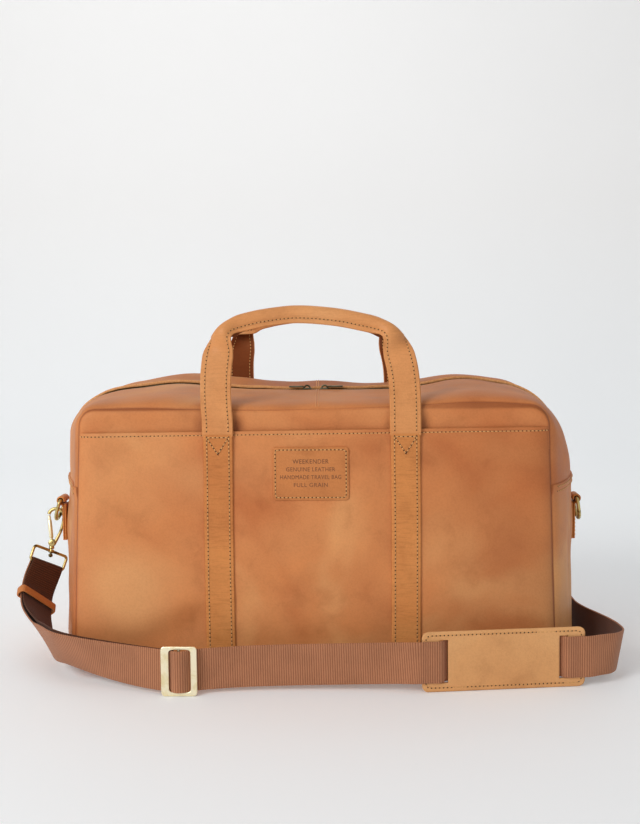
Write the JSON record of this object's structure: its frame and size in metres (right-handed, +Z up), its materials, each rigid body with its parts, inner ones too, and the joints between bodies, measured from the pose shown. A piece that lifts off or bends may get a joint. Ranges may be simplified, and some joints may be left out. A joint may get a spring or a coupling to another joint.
{
  "type": "weekender bag",
  "caption": "Leather weekender bag with a zipped top, rolled handles, a full-width slip pocket, side rings and an adjustable webbing shoulder strap.",
  "frame": {"origin": "middle of the bag's base, on the surface that it stands on", "axes": "+X along the bag to the viewer's right, the front pocket faces -Y, +Z up"},
  "size_m": [0.594, 0.387, 0.3465],
  "materials": {
    "tan_leather": "smooth oiled tan leather with soft creases",
    "strap_leather": "tan strap leather, edge stitched",
    "pad_leather": "pale tan pad leather",
    "lining_cloth": "woven cotton lining",
    "base_board": "stiff fibreboard",
    "handle_core": "twisted cotton cord",
    "zip_tape": "woven zip tape",
    "zip_metal": "dark antique brass",
    "antique_brass": "antique brass, worn bright on its edges",
    "pale_brass": "pale brushed brass",
    "webbing": "ribbed cotton webbing, brown"
  },
  "bodies": {
    "root": {"front_panel": "tan_leather", "back_panel": "tan_leather", "lower_gusset": "tan_leather", "top_gusset_front": "tan_leather", "top_gusset_rear": "tan_leather", "front_pocket": "tan_leather", "lining": "lining_cloth", "base_board": "base_board", "label_patch": "strap_leather", "zipper_tape_front": "zip_tape", "zipper_tape_rear": "zip_tape", "zipper_teeth_front": "zip_metal", "zipper_teeth_rear": "zip_metal", "front_patch_left": "strap_leather", "front_patch_right": "strap_leather", "rear_patch_left": "strap_leather", "rear_patch_right": "strap_leather", "side_tab_left": "strap_leather", "side_tab_right": "strap_leather", "strap_webbing": "webbing", "strap_return": "webbing", "strap_adjuster": "pale_brass", "shoulder_pad": "pad_leather", "strap_keeper": "strap_leather", "left_strap_loop": "antique_brass"},
    "front_handle": {"front_handle": "strap_leather", "front_handle_core": "handle_core"},
    "rear_handle": {"rear_handle": "strap_leather", "rear_handle_core": "handle_core"},
    "zip_slider_left": {"zipper_slider_left": "zip_metal"},
    "zip_puller_left": {"zipper_puller_left": "zip_metal"},
    "zip_slider_right": {"zipper_slider_right": "zip_metal"},
    "zip_puller_right": {"zipper_puller_right": "zip_metal"},
    "ring_left": {"side_ring_left": "antique_brass"},
    "ring_right": {"side_ring_right": "antique_brass"},
    "hook_left": {"left_hook_body": "antique_brass", "left_hook_rivet": "antique_brass", "left_hook_swivel": "antique_brass"},
    "gate_left": {"left_hook_gate": "pale_brass"},
    "loop_right": {"right_strap_loop": "antique_brass"},
    "hook_right": {"right_hook_body": "antique_brass", "right_hook_rivet": "antique_brass", "right_hook_swivel": "antique_brass"},
    "gate_right": {"right_hook_gate": "pale_brass"}
  },
  "joints": [
    {"name": "front_handle_fold", "type": "hinge", "parent": "root", "child": "front_handle", "pos_m": [0, -0.1254, 0.2308], "axis": [1, 0, 0], "range_deg": [-4, 150]},
    {"name": "rear_handle_fold", "type": "hinge", "parent": "root", "child": "rear_handle", "pos_m": [0, 0.1179, 0.2308], "axis": [-1, 0, 0], "range_deg": [0, 150]},
    {"name": "zip_slide_left", "type": "slide", "parent": "root", "child": "zip_slider_left", "axis": [-1, 0, 0], "range_m": [0, 0.19]},
    {"name": "zip_pull_left", "type": "hinge", "parent": "zip_slider_left", "child": "zip_puller_left", "pos_m": [-0.009, 0, 0.2652], "axis": [0, 1, 0], "range_deg": [0, 120]},
    {"name": "zip_slide_right", "type": "slide", "parent": "root", "child": "zip_slider_right", "axis": [1, 0, 0], "range_m": [0, 0.19]},
    {"name": "zip_pull_right", "type": "hinge", "parent": "zip_slider_right", "child": "zip_puller_right", "pos_m": [0.009, 0, 0.2652], "axis": [0, -1, 0], "range_deg": [0, 120]},
    {"name": "ring_swing_left", "type": "hinge", "parent": "root", "child": "ring_left", "pos_m": [-0.2628, 0, 0.152], "axis": [0, 1, 0], "range_deg": [-3, 2]},
    {"name": "ring_swing_right", "type": "hinge", "parent": "root", "child": "ring_right", "pos_m": [0.2628, 0, 0.152], "axis": [0, -1, 0], "range_deg": [-5, 85]},
    {"name": "hook_swivel_left", "type": "hinge", "parent": "root", "child": "hook_left", "pos_m": [-0.27662, -0.00062, 0.09775], "axis": [0.121, 0.1714, 0.9777], "range_deg": [-8, 8]},
    {"name": "hook_gate_left", "type": "hinge", "parent": "hook_left", "child": "gate_left", "pos_m": [-0.27598, 0.00086, 0.10621], "axis": [0, 0.985, -0.1726], "range_deg": [0, 11], "stiffness_Nm_per_rad": 0.03, "springref_deg": -11.46},
    {"name": "loop_fold_right", "type": "hinge", "parent": "root", "child": "loop_right", "pos_m": [0.10791, 0.19071, 0.0046], "axis": [0.0968, 0.9953, 0], "range_deg": [0, 60]},
    {"name": "hook_swivel_right", "type": "hinge", "parent": "loop_right", "child": "hook_right", "pos_m": [0.09298, 0.19216, 0.0046], "axis": [-0.9953, 0.0968, 0], "range_deg": [-12, 12]},
    {"name": "hook_gate_right", "type": "hinge", "parent": "hook_right", "child": "gate_right", "pos_m": [0.08446, 0.19339, 0.0046], "axis": [0, 0, 1], "range_deg": [0, 25], "stiffness_Nm_per_rad": 0.03, "springref_deg": -11.46}
  ]
}
